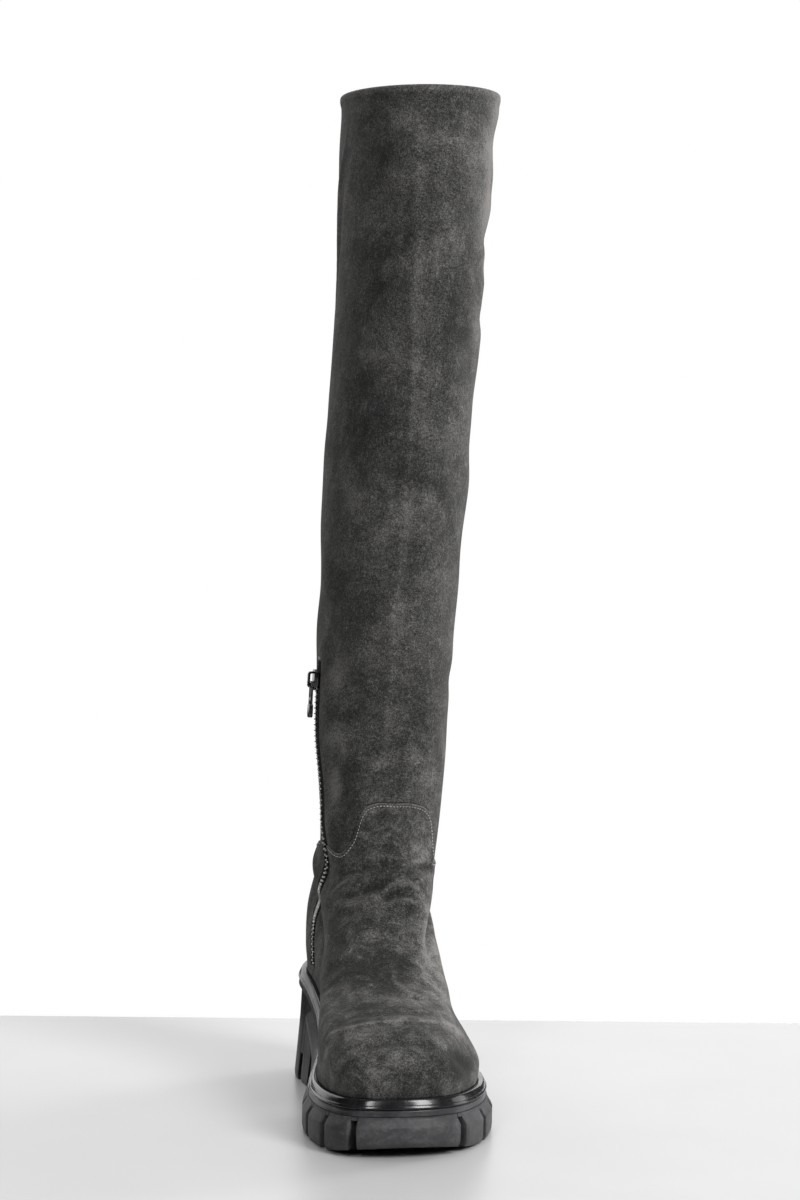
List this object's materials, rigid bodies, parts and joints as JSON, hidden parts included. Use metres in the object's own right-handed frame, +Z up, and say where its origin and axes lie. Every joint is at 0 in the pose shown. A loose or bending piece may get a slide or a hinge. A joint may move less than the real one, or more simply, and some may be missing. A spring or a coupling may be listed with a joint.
{
  "type": "tall boot",
  "caption": "Tall suede boot with a lugged platform sole, block heel, glossy rand, raised vamp flap and a short zip with a swinging pull tab at the inner ankle.",
  "frame": {"origin": "middle of the heel's ground face", "axes": "+Z up the leg, -Y towards the toe, +X towards the outer side of the foot"},
  "size_m": [0.1323, 0.2819, 0.5867],
  "materials": {
    "lug_rubber": "matte, slightly dusty",
    "heel_rubber": "glossy",
    "rand_rubber": "glossy",
    "board": "plain lining",
    "suede": "brushed nap",
    "leg_suede": "brushed nap",
    "tape_cloth": "woven tape",
    "teeth_metal": "gunmetal",
    "dark_nickel": "black nickel, polished",
    "tab_nickel": "black nickel, polished"
  },
  "bodies": {
    "boot": {"outsole": "lug_rubber", "heel": "heel_rubber", "midsole": "rand_rubber", "insole": "board", "upper": "suede", "shaft": "leg_suede", "zip_tape": "tape_cloth", "zip_chain": "teeth_metal", "zip_slider": "dark_nickel"},
    "pull_tab": {"zip_pull_tab": "tab_nickel"}
  },
  "joints": [
    {"name": "pull_tab_swing", "type": "hinge", "parent": "boot", "child": "pull_tab", "pos_m": [-0.0322, -0.01665, 0.23866], "axis": [-0.0279, 0.9989, -0.0389], "range_deg": [0, 150]}
  ]
}
